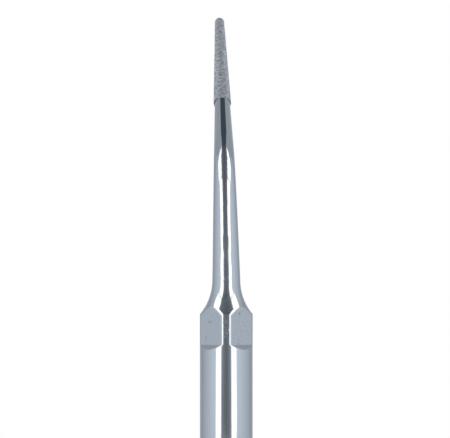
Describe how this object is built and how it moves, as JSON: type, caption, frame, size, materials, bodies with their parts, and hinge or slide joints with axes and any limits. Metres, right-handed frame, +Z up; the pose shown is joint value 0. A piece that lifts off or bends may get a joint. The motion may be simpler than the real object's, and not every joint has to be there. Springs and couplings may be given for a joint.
{
  "type": "ultrasonic scaler tip",
  "caption": "Polished steel ultrasonic endodontic tip: threaded round base with wrench flats, bent tapering shank and a straight diamond-coated point.",
  "frame": {"origin": "on the screw axis, in the plane of the flat seat at the bottom of the base", "axes": "+Z up the base along the screw axis, +Y the way the point leans, +X to the right of someone whom the point leans away from"},
  "size_m": [0.005, 0.0251, 0.0431],
  "materials": {
    "polished_steel": "stainless steel, turned, bent and mirror polished",
    "diamond_grit": "fine diamond grit held in electroplated nickel, matt and sparkling"
  },
  "bodies": {
    "root": {"tip_body": "polished_steel", "diamond_coating": "diamond_grit"}
  },
  "joints": []
}
